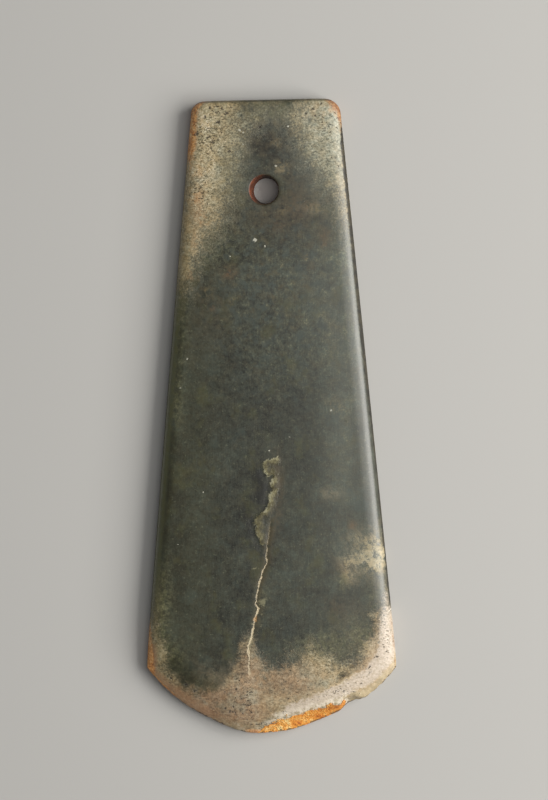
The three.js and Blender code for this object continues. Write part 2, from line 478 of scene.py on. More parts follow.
# what lies where on the stone, as soft spots: x, y, half length, half width, amount, turn
paint = {
    "rind": [
        (41, -36, 2.2, 8, 0.4), (40.5, -58, 1.6, 7, 0.4), (24, -80, 9, 6, 0.02), (14, -77, 4, 3, 0.25),
        (36.5, -69, 3, 4, 0.25), (-7, -79, 3, 7, 0.4, -8), (-4, -97, 14, 5, 0.3), (1, 103.5, 7, 5, 0.42),
        (-7.5, 98, 4, 10, 0.12), (9.5, 98, 4, 9, 0.15), (4.6, 94.7, 2.2, 2, 0.3), (15, 84, 5, 8, 0.12, -20),
        (7.2, 86, 2.2, 1.8, 0.3), (-28.6, 54, 1.8, 8, 0.4, -4), (-39.6, -66, 1.6, 12, 0.36, -4),
        (-37, -81, 2.5, 5, 0.4), (18.9, 71.5, 2, 1.3, 0.3), (-4, 92, 4, 6, -0.15), (14, 79, 6, 9, -0.16),
        (25.2, -27.4, 2.2, 1.2, 0.85), (21.5, -27.8, 1.2, 1.6, 0.7), (22.4, 2, 1, 2, 0.8),
    ],
    "veil": [
        (34, -49.5, 6, 4.6, 1.15, 10), (31, -42.5, 4.4, 3, 0.7), (38, -48, 4, 9, 0.9),
        (27, -51, 3, 4.4, 0.7), (28, -56.5, 3, 2.4, 0.6), (22, -80, 10, 5, 0.16, 10),
        (31, -78, 6, 7, 0.24, 30), (30, -68, 5, 3.4, 0.12, 30), (-40, -68, 2, 10, 0.9, -4),
        (12, 97, 6, 8, 0.5), (-10, 90, 4, 14, 0.5), (21, 84, 6, 12, 0.5), (22, -27, 4, 2, 0.5),
        (16, 72, 4, 2, 0.4), (6, 86, 3, 2, 0.4), (-20, -90, 8, 4, 0.5, -20), (1, 104, 7, 4, 0.5),
    ],
    "softer": [
        (33, -47, 9, 9, 0.8), (-19, -93, 12, 6, 0.9), (-14, -84, 4, 8, 0.7, 30), (24, -70, 10, 6, 0.5),
    ],
    "lively": [(0, 62, 26, 26, 1), (4, 28, 26, 22, 0.7), (-2, 100, 22, 12, 0.7)],
    "grains": [
        (-18, 88, 9, 26, 1), (-9, 98, 6, 14, 0.7), (20, 98, 9, 12, 0.7), (-6, -98, 12, 10, 0.7),
        (2, 102, 10, 6, 0.7), (18, -92, 14, 6, 0.5, 20), (40, -76, 4, 12, 0.4), (27, -76, 11, 8, 1),
    ],
    "pale": [
        (40.5, -77, 4, 11, 0.4), (36.4, -80.5, 2.6, 4, 0.55), (35, -89, 11, 3.2, 1.1, 40),
        (22, -96, 11, 2.6, 1.1, 24), (37, -48, 5, 5, 0.6), (-20, 84, 7, 14, 0.45), (-22, 104, 4, 7, 0.6),
        (25.6, -91.8, 3, 0.6, 0.9, 32), (-20, 66, 4, 10, 0.3, 20), (21, 92, 4, 8, 0.25),
        (25, 77, 3, 6, 0.25), (18, 104, 8, 8, 0.35), (-6.5, -88, 1.6, 9, 0.3, -3), (-6, -97, 5, 8, 0.35),
        (-9, -106, 4, 2, 0.2), (20, -88, 5, 3, 0.2, 30), (2, -98, 9, 5, 0.2),
    ],
    "pink": [
        (-22, -99, 12, 6, 1, -25), (-12, -98, 8, 6, 0.8), (2, -90, 12, 8, 0.55), (12, -94, 10, 8, 0.5),
        (-5, -104, 10, 5, 0.6), (39, -80, 5, 12, 0.9), (33, -90, 9, 5, 0.8, 40), (20, 106, 5, 4, 0.3),
        (-24, 74, 4, 12, 0.35), (35, -49, 7, 7, 0.2), (27, 86, 3, 20, 0.6), (-8, -86, 6, 10, 0.55),
    ],
    "brown": [
        (0, 94, 8, 9, 0.3), (3, 70, 14, 7, 0.5), (11, 78, 5, 8, 0.45), (-12.6, 50, 3.2, 2.6, 0.6),
        (-20, 34, 8, 12, 0.25), (14.4, 72.4, 5, 3, 0.4, 10), (-17, -92, 8, 4, 0.6, 10),
        (3.6, -22, 2.2, 9, 0.8), (3.2, -36, 1.8, 7, 0.5, -8), (27, -52, 3, 3.4, 0.9),
        (29.6, -38, 2, 1.8, 0.7), (21.2, 62, 3, 3, 0.6), (24, -66, 5, 4, 0.5), (12, -84, 3, 3, 0.4),
        (25.2, -90, 3, 1.8, 0.8, 35), (20.2, -92, 2, 1.4, 0.6),
    ],
    "moss": [
        (22, -80, 9, 5, 0.6, 10), (14, -79, 8, 4, 0.3, 10), (33, -76, 4, 6, 0.6, 40),
        (-34, -82, 4, 6, 0.5, 30), (-24, -93, 8, 3, 0.2, -12), (37, -62, 3, 6, 0.35),
        (-31, 38, 3, 18, 0.8, -4), (-38.5, -66, 3.5, 13, 1, -4), (-32, 6, 2.4, 10, 0.7),
        (0, 106, 7, 3, 0.7), (-3, -64, 2.2, 6, 0.5, -6), (25.9, -56.7, 2, 3, 0.7), (31, -44, 6, 5, 0.15),
        (34, -96, 8, 3, 0.15, 40), (-12, 84, 5, 10, 0.5), (-16, 60, 8, 8, 0.35),
    ],
    "dark": [
        (-1, 94, 6, 8, 0.8), (8, 92, 5, 7, 0.6), (12, 63, 9, 9, 0.2), (-14, 58, 5, 7, 0.3, 20),
        (-5, 105.5, 4.5, 5, 0.5), (13, 78, 7, 10, 0.36), (17, 71, 4, 5, 0.35), (-31, -94, 4, 3, 0.35),
        (0, -93, 5, 4, 0.25), (-13, 87, 3, 5, 0.25), (-32, -58, 4, 16, 0.2), (-21, 71, 3, 5, 0.35),
        (0, 12, 9, 18, 0.13), (-2, -44, 7, 26, 0.16), (-15, -30, 22, 60, 0.09), (-9, -80, 3, 9, 0.3),
        (-40, -64, 3, 8, 0.3), (-30, -90, 4, 4, 0.3), (42, -62, 2.5, 5, 0.3), (32, -3, 5, 16, 0.24),
        # painted shadow: the spots at (-2.6, -24) and (-6.8, -33) darken the stone beside the infill's left
        # side, where it steps down
        (-2.6, -24, 2.2, 6.5, 0.9), (-6.8, -33, 1.6, 5, 0.5), (1.4, -18.5, 1, 1, 0.3),
        (-3, -99, 13, 8, 0.1), (-3, -43, 1.6, 3, 0.3), (-33, -38, 5, 30, 0.42, -4), (-30, -36, 3, 22, 0.15),
        (-20, -87, 9, 7, 0.45), (-26, -86, 6, 6, 0.2), (6, -74, 6, 5, 0.35), (-6.4, -57, 1.6, 12, 0.3, -6),
        (25.2, -89.9, 2.9, 0.9, 0.8, 34), (28.4, -86.6, 1.8, 0.6, 0.5, 48), (13.7, 51.7, 1.4, 1.2, 0.6),
        (-21, 46, 5, 6, 0.42), (-12, 54, 5, 5, 0.3), (-27, 40, 4, 8, 0.3), (14, -14, 7, 9, 0.35),
        (-16, -70, 8, 12, 0.25),
    ],
    # greyer, lighter stone; the long strips along the right side are partly painted sheen from the lights,
    # and the spot at (-33, 5) is painted light on the shaded left rim
    "cloud": [
        (-4, 48, 10, 7, 0.25), (2, 38, 14, 12, 0.25), (-33, 5, 2.5, 10, 0.6), (28, 20, 8, 26, 0.6),
        (27, -14, 8, 26, 0.7), (34, -49, 8, 8, 0.7), (28, 44, 6, 26, 0.5), (19, 40, 9, 16, 0.4),
        (-8, 96, 5, 10, 0.6), (17, 88, 7, 14, 0.75), (26, 90, 5, 18, 0.8), (20, 97, 7, 12, 0.5),
        (16, 56, 13, 16, 0.3), (14, -50, 12, 12, 0.05), (-10, 82, 5, 10, 0.4), (2, 104, 9, 5, 0.6),
        (-26, 104, 5, 8, 0.1),
    ],
    "speckled": [
        (-18, 98, 9, 14, 0.8), (-22, 76, 6, 14, 0.6), (-10, -84, 5, 8, 0.3), (33, -48, 8, 7, -0.7),
        (40, -80, 6, 10, -0.6), (22, -84, 10, 6, 0.8, 10), (20, 96, 8, 12, 0.5),
    ],
    "splay": [
        (-2.6, -64.4, 1.3, 1.3, 0.9), (-1.2, -63.2, 1.5, 0.6, 0.8, 35), (-4.8, -52.4, 1.6, 0.5, 0.65, 10),
        (-5.6, -71.6, 1.3, 0.7, 0.8), (-2.6, -72, 1, 0.5, 0.5), (-2.2, -67.4, 0.7, 2.2, 0.5, -15),
        (-6.6, -78, 1.4, 2.6, 0.8, -10),
    ],
    "ochre": [
        (6.2, 86.6, 2.4, 1.6, 0.9, 30), (8, 84.4, 1.6, 1.2, 0.6), (18.9, 71.5, 2.6, 1.6, 0.5),
        (6.4, 71, 1.6, 1.2, 0.4), (15.3, 55, 1.2, 1.2, 0.7), (-11.5, 40.3, 1, 1, 0.8),
        (-20.9, 43, 2, 2, 0.6), (4.6, 94.7, 1.8, 1.4, 0.6), (-27, 66, 3, 11, 0.6, -4),
        (-25.4, 78, 2.4, 8, 0.5, -4), (24, 3, 3, 3, 0.2),
    ],
    "apricot": [
        (-23.5, 76, 1.8, 3, 0.9), (-21.5, 69, 1.8, 3, 0.7), (-24.6, 62, 1.6, 3, 0.4), (-22, 85, 2, 3, 0.4),
        (-26, 50, 1.6, 3, 0.3), (-3, -90, 4, 5, 0.3), (24, 106, 3, 2, 0.6),
    ],
    "russet": [
        (5.3, 66, 1.8, 1.8, 0.7), (21, 63, 1.6, 1.2, 0.6), (20.8, 59.4, 1.6, 1.2, 0.6),
        (14.4, 72, 2.6, 1.2, 0.7, 20), (-12.6, 50, 2.4, 1.8, 1), (-18.4, 38.3, 1.6, 1.4, 0.7),
        (-25, 71, 1.6, 2.6, 0.8), (-24.4, 76, 1.4, 1.6, 0.6), (26.6, -52.8, 1.6, 1.2, 0.9),
        (29.6, -38.1, 1.4, 1.2, 0.8),
    ],
    "pits": [
        (-19, 100, 7, 9, 0.7), (-22, 80, 4, 12, 0.65), (-7.5, -97, 2, 10, 0.75), (-11, -93, 3, 4, 0.3),
        (-14, -101, 6, 4, 0.4), (41, -76, 5, 9, 0.4), (24, 94, 6, 12, 0.45), (24, -96, 12, 5, 0.4, 24),
        (-25, -100, 10, 5, 0.1, -25), (10, -94, 10, 8, 0.25), (-2, -107, 7, 2.2, 0.8),
        (16, 104, 10, 5, 0.6), (24, -88, 7, 5, 0.3),
    ],
}


def stainMasks(x, y, half, fromEdge):
    # rust on the worn corners and rims, and the paler tan beside it
    fromSide = half - np.abs(x)
    buttLeft = smoothstep(half + x, 5.4, 0.8) * smoothstep(y, 78, 96)
    buttCorner = smoothstep(np.hypot(x - 28, y - 111), 9.5, 4) * smoothstep(half - x, 5.5, 2.0)
    buttRight = 0.8 * smoothstep(half - x, 1.8, 0.6) * smoothstep(y, 88, 104)
    reach = lerp(1.6, 5.6, smoothstep(-y, 68, 90))
    lowerLeft = smoothstep(fromSide, reach, reach * 0.2) * smoothstep(-y, 56, 84) * (x < 0)
    lowerEdge = 0.8 * smoothstep(fromEdge, 3.0, 0.5) * smoothstep(-x, 22, 38)
    rightStrip = 0.55 * smoothstep(half - x, 1.2, 0.5) * smoothstep(-y, 60, 74)
    tip = smoothstep(fromEdge, 2.4, 0.8) * smoothstep(x, -12, -7) * smoothstep(x, 8, 3)
    stains = [buttLeft, buttCorner, buttRight, lowerLeft, lowerEdge, rightStrip, tip]
    leftTan = smoothstep(fromSide, 5.5, 2.5) * smoothstep(-y, 72, 84) * (x < 0)
    edgeTan = 0.9 * smoothstep(fromEdge, 8.0, 2.0) * smoothstep(-x, 8, 26)
    edgeRight = 0.95 * smoothstep(fromEdge, 5.5, 1.5) * smoothstep(x, 22, 32)
    return {
        "iron": 1.5 * np.maximum.reduce(stains) - 0.5,
        "tan": 1.4 * np.maximum.reduce([leftTan, edgeTan, edgeRight]) - 0.4,
    }


def fissureMasks(x, y, onTop):
    nearest, side, along = distanceToCourse(x, y, crackCourse)
    return {
        "infill": np.where(onTop, insideCourse(x, y, infillCourse + infillRight), -20),
        "fromInfillCourse": distanceToCourse(x, y, infillCourse)[0],
        "crackSide": np.where(onTop, nearest * side, 20),
        "crackAlong": along,
        "fromSideCrack": distanceToCourse(x, y, sideCrack)[0],
    }


def paintMasks(mesh):
    x, y, z = pointsOf(mesh) / mm
    half = halfWidth(y, x)
    fromEdge = np.maximum(y - edgeY(x), 0)
    masks = {name: softSpots(x, y, spots) for name, spots in paint.items()}

    # softness is the half width, in millimetres, of the change from core to rind
    core = insideCourse(x, y, coreOutline)
    lower = smoothstep(-y, 55, 70)
    softness = lerp(8.0, lerp(3.0, 5.0, smoothstep(x, -4, 8)), lower)
    masks["rind"] += np.clip(0.5 - core / (2 * softness), -0.5, 1.3)

    # the unpolished right side, whose wall gets painted shade, and the bright worn band round its lower
    # corner
    wallShadeSpan = smoothstep(y, -76, -62) * smoothstep(y, 108, 92) * (x > 0)
    arris = lerp(0.35, 0.95, smoothstep(y, -20, 40))
    rightWall = np.where(wallShadeSpan > 0, half - x - arris + 1.6 * (1 - wallShadeSpan), 20)
    fromBand, _, along = distanceToCourse(x, y, bandCourse)

    start, end = flake["scar"][:2]
    reach = scarWidth(x) + 0.7 * (x < 6) + 1.3 * smoothstep(x, end - 9, end - 4)
    inScar = np.minimum.reduce([reach - (y - edgeY(x)), (x - start) / 2 + 2.2, (end - x) * 2.2])
    masks |= {
        "lower": lower,
        "fromSide": half - np.abs(x),
        "fromLeft": half + x,
        "fromEdge": fromEdge,
        "fromButt": buttY - y,
        "rightWall": rightWall,
        "band": lerp(3.9, 1.6, along) - fromBand,
        "scar": np.where(z > blade["underFlat"] - 2.2, inScar, -20),
        **stainMasks(x, y, half, fromEdge),
        **fissureMasks(x, y, z > blade["underFlat"] + 0.5),
    }
    for name, values in masks.items():
        layer = mesh.attributes.new(name, "FLOAT", "POINT")
        layer.data.foreach_set("value", np.clip(values, -60, 60).astype(np.float32))
    print(len(masks), "masks painted")


def colour(red, green, blue):
    # a screen colour, 0 to 255, as the linear colour that sockets hold
    channels = [c / 255 for c in (red, green, blue)]
    return tuple(c / 12.92 if c <= 0.04045 else ((c + 0.055) / 1.055) ** 2.4 for c in channels) + (1,)


def addNode(tree, kind, values=None, **settings):
    made = tree.nodes.new("ShaderNode" + kind)
    for name, value in settings.items():
        setattr(made, name, value)
    for name, value in (values or {}).items():
        if isinstance(value, bpy.types.NodeSocket):
            tree.links.new(value, made.inputs[name])
        else:
            made.inputs[name].default_value = value
    return made


def feed(kind, values, **settings):
    # a node in the tree that the first socket among its values is in
    tree = next(value.id_data for value in values.values() if isinstance(value, bpy.types.NodeSocket))
    return addNode(tree, kind, values, **settings)


def calc(operation, a, b=0.0, clamp=False):
    return feed("Math", {0: a, 1: b}, operation=operation, use_clamp=clamp).outputs[0]


def times(product, *others):
    for other in others:
        product = calc("MULTIPLY", product, other)
    return product


def blend(factor, a, b, mode="MIX"):
    return feed("Mix", {0: factor, 6: a, 7: b}, data_type="RGBA", blend_type=mode).outputs[2]


def ramp(value, start, end, low=0.0, high=1.0):
    values = {0: value, 1: start, 2: end, 3: low, 4: high}
    return feed("MapRange", values, interpolation_type="SMOOTHSTEP").outputs[0]


def noiseField(where, scale, detail, roughness, stretch=None, distortion=0.0):
    if stretch:
        where = feed("Mapping", {"Vector": where, "Scale": stretch}).outputs[0]
    values = {"Vector": where, "Scale": scale, "Detail": detail, "Roughness": roughness}
    return feed("TexNoise", {**values, "Distortion": distortion}).outputs["Fac"]


def inMillimetres(tree):
    where = addNode(tree, "TexCoord").outputs["Object"]
    return feed("Mapping", {"Vector": where, "Scale": (1000, 1000, 1000)}).outputs[0]


def newGroup(name, *amounts):
    # a group that takes a place and the named amounts, and gives a mask
    tree = bpy.data.node_groups.new(name, "ShaderNodeTree")
    for socket, kind in (("Where", "Vector"), *[(amount, "Float") for amount in amounts]):
        tree.interface.new_socket(socket, in_out="INPUT", socket_type="NodeSocket" + kind)
    tree.interface.new_socket("Mask", in_out="OUTPUT", socket_type="NodeSocketFloat")
    return tree, tree.nodes.new("NodeGroupInput").outputs, tree.nodes.new("NodeGroupOutput").inputs


def toneRamp(value, stops):
    # stops: position, then a screen colour
    made = feed("ValToRGB", {"Fac": value})
    elements = made.color_ramp.elements
    while len(elements) < len(stops):
        elements.new(0.5)
    for element, (position, *tone) in zip(elements, stops):
        element.position = position
        element.color = colour(*tone)
    return made.outputs["Color"]


def total(*terms):
    # each term: a socket, how much of it to add, and its middle value where that is not 0.5
    result = None
    for value, amount, *middle in terms:
        part = times(calc("SUBTRACT", value, middle[0] if middle else 0.5), amount)
        result = part if result is None else calc("ADD", result, part)
    return result


def roughened(f, value, **amounts):
    # moves a value by the named noises, each taken about its middle
    return calc("ADD", value, total(*[(getattr(f, name), amount) for name, amount in amounts.items()]))


def makeFleckGroup():
    # scattered irregular grains or pits; Share raises how many there are
    tree, given, result = newGroup("stoneFlecks", "Scale", "Share")
    field = noiseField(given["Where"], given["Scale"], 2.0, 0.5, distortion=0.8)
    limit = calc("SUBTRACT", 0.77, times(given["Share"], 0.17))
    over = calc("SUBTRACT", field, limit)
    tree.links.new(ramp(over, -0.015, 0.04), result["Mask"])
    return tree


def makeRaggedGroup():
    # turns a soft painted mask into one with a mineral, fringed edge
    tree, given, result = newGroup("raggedEdge", "Soft", "Coarse", "Fine", "Width")
    coarse = noiseField(given["Where"], 0.22, 5.0, 0.6, distortion=0.6)
    fine = noiseField(given["Where"], 1.5, 3.0, 0.65)
    moved = calc("ADD", given["Soft"], total((coarse, given["Coarse"]), (fine, given["Fine"])))
    start, end = calc("SUBTRACT", 0.5, given["Width"]), calc("ADD", 0.5, given["Width"])
    tree.links.new(ramp(moved, start, end), result["Mask"])
    return tree


fleckGroup = makeFleckGroup()
raggedGroup = makeRaggedGroup()


def flecks(where, scale, share):
    values = {"Where": where, "Scale": scale, "Share": share}
    return feed("Group", values, node_tree=fleckGroup).outputs["Mask"]


def ragged(where, soft, coarse, fine, width):
    values = {"Where": where, "Soft": soft, "Coarse": coarse, "Fine": fine, "Width": width}
    return feed("Group", values, node_tree=raggedGroup).outputs["Mask"]


def tinted(tone, field, cool, warm, amount):
    # turns a tone cooler and warmer from place to place
    shade = blend(ramp(field, 0.36, 0.64), cool, warm)
    return blend(amount, tone, shade, "MULTIPLY")


def distanceFrom(flat, x, y):
    return feed("VectorMath", {0: flat, 1: (x, y, 0)}, operation="DISTANCE").outputs["Value"]


def spotField(flat, spots, wobble):
    # how far inside the nearest small spot a place is, in millimetres; each spot: x, y, radius
    deepest = None
    for x, y, radius in spots:
        inside = calc("SUBTRACT", radius, distanceFrom(flat, x, y))
        deepest = inside if deepest is None else calc("MAXIMUM", deepest, inside)
    return calc("ADD", deepest, wobble)


# the polished stone, from its core outwards
coreStone = {
    "ramp": [
        (0.0, 30, 30, 24), (0.22, 50, 51, 42), (0.45, 63, 65, 55), (0.66, 78, 81, 69),
        (0.85, 98, 101, 84), (1.0, 128, 128, 102),
    ],
    "cool": (0.88, 0.98, 0.98, 1),
    "warm": (0.96, 0.93, 0.82, 1),
    "blue": colour(66, 74, 68),
    "rusty": colour(84, 76, 54),
    "olive": colour(78, 76, 48),
    "brown": colour(80, 68, 48),
    "moss": colour(96, 96, 62),
    "mossLight": colour(136, 132, 98),
    # the dark stone tone; it also paints shade in the band inside the left side and along the butt
    "side": colour(46, 44, 28),
    "light": colour(118, 120, 94),
    # partly painted light: the lighter line along the left rim
    "rim": colour(98, 101, 74),
    "grey": colour(93, 92, 86),
    "whiteFleck": colour(200, 198, 182),
}
rindStone = {
    "stops": (0.0, 0.25, 0.5, 0.75, 1.0),
    "plain": [(66, 62, 44), (120, 109, 82), (168, 154, 122), (198, 183, 152), (234, 223, 204)],
    "pink": [(66, 54, 42), (120, 98, 76), (162, 136, 110), (190, 168, 142), (232, 218, 202)],
    "grey": [(60, 62, 52), (104, 105, 91), (150, 149, 131), (182, 179, 161), (220, 215, 199)],
    "cool": (0.91, 0.96, 0.94, 1),
    "warm": (1.0, 0.93, 0.80, 1),
    "thin": colour(112, 110, 97),
    "thinLow": colour(104, 98, 80),
    "pit": colour(46, 38, 26),
    "band": colour(206, 192, 176),
    "bandDark": colour(184, 170, 150),
}
stainsShadeAndLight = {
    # the rust in two copies: the brighter left one is painted light, making up for the shade on the left,
    # which faces away from the lights; the darker right one is painted shade for the lit right side
    "ironLeftPaintedLight": [(0.0, 132, 78, 40), (0.4, 204, 136, 72), (0.7, 224, 166, 98), (1.0, 236, 200, 150)],
    "ironRightPaintedShade": [(0.0, 86, 50, 28), (0.4, 140, 88, 48), (0.7, 166, 116, 70), (1.0, 188, 150, 106)],
    "tanLeft": colour(166, 124, 90),
    "tanRight": colour(208, 190, 154),
    "tanDeep": colour(172, 154, 120),
    "edgeLine": colour(58, 42, 28),
    "ochre": colour(150, 132, 92),
    "russet": colour(108, 84, 60),
    "apricot": colour(190, 144, 98),
    # painted shade for the wall of the right side
    "wallShadeDark": colour(22, 20, 12),
    "wallShadeLight": colour(56, 50, 32),
}
fissure = {
    "infillRamp": [(0.0, 60, 54, 34), (0.45, 94, 88, 58), (0.75, 126, 120, 86), (1.0, 164, 158, 122)],
    "rim": colour(180, 176, 146),
    "line": colour(210, 194, 160),
    "halo": colour(74, 65, 43),
    "rust": colour(190, 140, 84),
    "rustSpots": [(-4.9, -70.3, 0.8), (-4.6, -69.2, 0.5)],
    "splay": colour(138, 134, 104),
    "sideLine": colour(240, 234, 220),
}
scarStone = {
    "ramp": [(0.0, 146, 76, 20), (0.3, 214, 128, 32), (0.6, 234, 160, 62), (1.0, 242, 208, 138)],
    "rim": colour(232, 220, 200),
}
whiteFlecks = [
    (-3.2, 61.3, 0.75), (0.3, 59.1, 0.45), (-12, 55.9, 0.35), (-8.2, 99.5, 0.5), (-6.9, 98.6, 0.3),
    (-6.9, 94.6, 0.35), (8.9, 100.5, 0.45), (10.2, 99.8, 0.3), (15.4, 94.8, 0.25), (4.4, 86.9, 0.45),
    (8.1, -7.1, 0.3), (22.5, 2, 0.35), (0.8, -11.9, 0.4), (-27.5, 20.4, 0.4), (-22.4, -26, 0.3),
    (-30.1, 10.3, 0.35), (-31.6, -44, 0.3), (14.2, 74.4, 0.25),
]
largePits = [
    (-15.8, 108, 0.7), (-18.6, 107.4, 0.5), (-14.4, 107.2, 0.6), (-12.7, 105.6, 0.75), (-18.3, 105.3, 0.6),
    (-20.1, 104.3, 0.5), (-15.6, 102.4, 0.8), (-23.3, 98.8, 0.75), (-17.4, 95.5, 0.75), (-11.8, 92.3, 0.5),
    (-1, 100.6, 0.6), (17.4, 106.4, 0.5), (19.6, 104, 0.4), (15, 105, 0.5), (-34.6, -90.7, 0.5),
    (-29.3, -92.9, 0.5), (-26.2, -94.9, 0.65), (-14.4, -102.1, 0.5), (-12, -94.3, 0.45),
    (-8.4, -96.4, 0.36), (-8.1, -98.5, 0.38), (-18.6, -98.1, 0.35), (-13, -100.5, 0.35), (7.1, -87.8, 0.36),
    (4.3, -86.7, 0.3), (34.5, -87.2, 0.42), (34.8, -88.8, 0.36), (40.5, -81.7, 0.3), (22.6, -95.4, 0.5),
    (4.4, -102.6, 0.45), (40.7, -74.4, 0.4), (39.4, -77, 0.35), (41, -76.2, 0.3), (39.6, -79.8, 0.4),
    (40.6, -81.8, 0.3), (37, -83.3, 0.32), (34.7, -86.8, 0.3), (25.6, -95.5, 0.35), (-15.8, -95.2, 0.35),
    (-12.3, -97.6, 0.3), (-10.6, -91.4, 0.35), (-8.2, -88.4, 0.3), (-7.9, -95, 0.3), (-8.6, -99.6, 0.33),
    (-6.8, -102.6, 0.32), (-10, -102.8, 0.28), (-4.8, -98.4, 0.35),
]
polish = {"roughness": 0.34, "indexOfRefraction": 1.66}


noises = {  # scale, detail, roughness, and any stretch
    "broad": (0.055, 3.0, 0.5),
    "middle": (0.17, 5.0, 0.62),
    "small": (0.6, 4.0, 0.6),
    "fine": (1.7, 3.0, 0.65),
    "mottle": (0.42, 6.0, 0.72),
    "strokes": (1.3, 3.0, 0.65, (0.78, 1.2, 1.0)),
    "streaks": (2.0, 2.0, 0.6, (1.0, 0.14, 1.0)),
    "hue": (0.11, 4.0, 0.6, (1.0, 0.8, 3.0)),
    "wiggle": (0.35, 3.0, 0.6),
}
measuredMasks = (
    "lower", "iron", "tan", "fromSide", "fromLeft", "fromEdge", "fromButt", "rightWall", "band",
    "infill", "fromInfillCourse", "crackSide", "crackAlong", "fromSideCrack", "scar",
)


def stoneFields(tree):
    # the places, the noises and the painted masks that the layers share
    where = inMillimetres(tree)
    axes = feed("SeparateXYZ", {"Vector": where}).outputs
    flat = feed("CombineXYZ", {"X": axes["X"], "Y": axes["Y"]}).outputs[0]
    fields = {name: noiseField(where, *given) for name, given in noises.items()}
    for name in (*paint, *measuredMasks):
        fields[name] = addNode(tree, "Attribute", attribute_name=name).outputs["Fac"]
    return SimpleNamespace(where=where, x=axes["X"], flat=flat, **fields)


def coreLayer(f):
    # the grey patches lighten the tone here and grey it below; along the right side and at the left rim
    # they are partly painted light
    tone = total(
        (f.broad, 0.5), (f.middle, 0.85), (f.small, 0.55), (f.fine, 0.8), (f.streaks, 0.4),
        (f.cloud, 0.3, 0), (f.dark, -0.5, 0),
    )
    busy = total((f.fine, 0.5), (f.small, 0.8), (f.mottle, 1.2))
    tone = calc("ADD", tone, times(busy, f.lively))
    core = toneRamp(calc("ADD", tone, 0.36), coreStone["ramp"])
    core = blend(ramp(f.hue, 0.56, 0.72, 0, 0.5), core, coreStone["blue"])
    core = blend(ramp(f.hue, 0.47, 0.3, 0, 0.55), core, coreStone["olive"])
    core = blend(ramp(f.x, -8, -30, 0, 0.22), core, coreStone["olive"])
    core = blend(times(f.cloud, 0.35), core, coreStone["grey"])
    core = tinted(core, f.mottle, coreStone["cool"], coreStone["warm"], 0.9)
    shifting = feed("Mapping", {"Vector": f.where, "Location": (40, 7, 0)}).outputs[0]
    patches = noiseField(shifting, 0.26, 5.0, 0.68)
    core = blend(times(f.lively, ramp(patches, 0.52, 0.66, 0, 0.5)), core, coreStone["rusty"])
    core = blend(times(f.lively, ramp(patches, 0.48, 0.38, 0, 0.7)), core, coreStone["blue"])
    brownish = times(f.brown, ramp(f.small, 0.3, 0.62, 0.15, 1))
    core = blend(brownish, core, coreStone["brown"])
    mossTone = blend(ramp(f.fine, 0.45, 0.65), coreStone["moss"], coreStone["mossLight"])
    mossy = times(f.moss, ramp(f.small, 0.36, 0.64, 0.1, 0.9))
    core = blend(mossy, core, mossTone)
    core = blend(times(flecks(f.where, 1.25, 0.62), 0.3), core, coreStone["light"])
    core = blend(times(flecks(f.where, 0.8, 0.5), 0.4), core, coreStone["side"])

    # a dark band inside the left side, partly brown stain and partly painted shade where the rounding turns
    # from the light, and a lighter line along its rim, partly the stone's olive tone and partly painted
    # light for the shade on that rounding
    band = roughened(f, f.fromLeft, middle=5.0, small=3.0)
    core = blend(ramp(band, 5.4, 3.0, 0, 0.35), core, coreStone["side"])
    rimToneAndPaintedLight = blend(ramp(f.small, 0.4, 0.6), coreStone["rim"], coreStone["moss"])
    return blend(ramp(f.fromLeft, 3.4, 1.4, 0, 0.8), core, rimToneAndPaintedLight)


def rindLayer(f, core):
    coarseEdge = calc("ADD", times(f.lower, 0.8), 0.8)
    fineEdge = calc("ADD", times(f.lower, 0.2), 1.1)
    fineEdge = calc("SUBTRACT", fineEdge, f.softer)
    rind = ragged(f.where, f.rind, coarseEdge, fineEdge, 0.45)
    patchy = calc("ADD", times(f.mottle, 1.55), times(f.fine, 0.25))
    veil = times(f.veil, ramp(patchy, 0.62, 1.06, 0.08, 0.95))
    rind = calc("MAXIMUM", rind, calc("MULTIPLY", veil, 1.0, True))
    paleness = times(f.pale, ramp(f.small, 0.2, 0.5, 0.5, 1))
    grainy = total((f.strokes, 1.1), (f.fine, 0.5))
    grainy = times(grainy, calc("ADD", 0.75, f.speckled))
    tone = total(
        (f.middle, 0.5), (f.small, 0.5), (grainy, 1.0, 0), (paleness, 0.32, 0), (f.dark, -0.45, 0)
    )
    tone = calc("ADD", tone, 0.46)
    plain, pink, grey = [
        toneRamp(tone, [(at, *shade) for at, shade in zip(rindStone["stops"], rindStone[name])])
        for name in ("plain", "pink", "grey")
    ]
    rindTone = blend(calc("MULTIPLY", f.pink, 1.0, True), plain, pink)
    greyed = calc("ADD", f.cloud, ramp(f.hue, 0.5, 0.66, 0, 0.6))
    rindTone = blend(calc("MULTIPLY", greyed, 0.75, True), rindTone, grey)
    rindTone = tinted(rindTone, f.mottle, rindStone["cool"], rindStone["warm"], 0.9)

    band = roughened(f, f.band, small=4.0, middle=3.0)
    bandTone = blend(ramp(f.strokes, 0.38, 0.58), rindStone["bandDark"], rindStone["band"])
    rindTone = blend(ramp(band, -0.5, 0.9, 0, 0.85), rindTone, bandTone)
    grains = times(flecks(f.where, 1.9, 0.95), f.grains)
    rindTone = blend(calc("MULTIPLY", grains, 0.75, True), rindTone, rindStone["pit"])

    # where it thins out over the core it greys
    thin = times(ramp(rind, 0.9, 0.3), ramp(f.small, 0.35, 0.6, 0.3, 0.7))
    thinTone = blend(f.lower, rindStone["thin"], rindStone["thinLow"])
    rindTone = blend(thin, rindTone, thinTone)
    mossy = times(f.moss, ramp(f.mottle, 0.42, 0.58, 0, 0.7))
    rindTone = blend(mossy, rindTone, coreStone["moss"])
    return blend(rind, core, rindTone), rind


